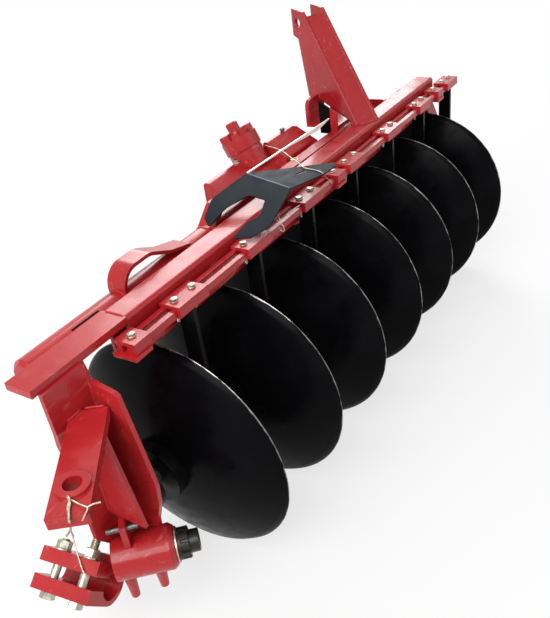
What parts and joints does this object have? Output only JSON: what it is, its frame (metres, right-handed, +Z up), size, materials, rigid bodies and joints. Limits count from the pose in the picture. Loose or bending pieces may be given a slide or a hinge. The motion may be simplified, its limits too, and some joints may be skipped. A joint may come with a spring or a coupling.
{
  "type": "disc plough",
  "caption": "Mounted disc plough driven by a shaft: concave discs on one gang under a diagonal beam, with mast, gearbox, scrapers, lower hitch arms and a tail bracket.",
  "frame": {"origin": "on the floor under the middle of the machine's box", "axes": "+X along the gang shaft from the tail end to the front end of the gang, +Y to the tractor's side, +Z up"},
  "size_m": [2.0456, 0.8251, 0.9783],
  "materials": {
    "red_paint": "gloss red machine enamel",
    "black_enamel": "gloss black dip enamel",
    "bare_steel": "zinc-plated and bare turned steel",
    "grey_sheet": "satin blue-grey sheet paint"
  },
  "bodies": {
    "frame": {"beam_end_cap": "red_paint", "bearing_plate": "red_paint", "clamp_bolts": "bare_steel", "cover_plate": "red_paint", "drive_tube": "red_paint", "front_tube": "red_paint", "front_tube_cap": "red_paint", "gearbox_case": "red_paint", "guard_sheet": "grey_sheet", "hitch_arm_front": "red_paint", "hitch_arm_tail": "red_paint", "hitch_pins": "bare_steel", "hub_housing": "red_paint", "hub_seal": "red_paint", "input_housing": "red_paint", "leg_rib": "red_paint", "leg_web": "red_paint", "main_beam": "red_paint", "mast_props": "red_paint", "mast_sides": "red_paint", "mast_web": "red_paint", "nose_plate": "red_paint", "rail_brackets": "red_paint", "rail_straps": "red_paint", "scraper_clamps": "red_paint", "scraper_rails": "red_paint", "scrapers": "black_enamel", "side_drive_case": "red_paint", "side_sheet": "grey_sheet", "slit_clamp": "red_paint", "stand_sleeve": "red_paint", "tail_arm": "red_paint", "tail_bearing": "black_enamel", "tail_pin": "bare_steel", "tube_end_plate": "red_paint", "tube_hoops": "red_paint", "tube_ties": "red_paint"},
    "gang": {"disc_1": "black_enamel", "disc_2": "black_enamel", "disc_3": "black_enamel", "disc_4": "black_enamel", "disc_5": "black_enamel", "disc_6": "black_enamel", "disc_7": "black_enamel", "spools": "black_enamel", "end_collars": "black_enamel", "gang_shaft": "black_enamel"},
    "input": {"input_shaft": "bare_steel"},
    "hub": {"tail_hub": "black_enamel"},
    "stand": {"parking_leg": "red_paint"}
  },
  "joints": [
    {"name": "gang_spin", "type": "hinge", "parent": "frame", "child": "gang", "pos_m": [0.15685, -0.1325, 0.28], "axis": [1, 0, 0], "continuous": true},
    {"name": "input_spin", "type": "hinge", "parent": "frame", "child": "input", "pos_m": [0.11185, 0.11052, 0.75999], "axis": [0, 0.4384, 0.8988], "continuous": true},
    {"name": "tail_hub_spin", "type": "hinge", "parent": "frame", "child": "hub", "pos_m": [-0.77715, -0.2625, 0.236], "axis": [0.682, -0.7314, 0], "continuous": true},
    {"name": "stand_slide", "type": "slide", "parent": "frame", "child": "stand", "axis": [0, 0, 1], "range_m": [0, 0.2]}
  ],
  "couplings": [
    {"joint": "input_spin", "follows": "gang_spin", "ratio": 4.5}
  ]
}
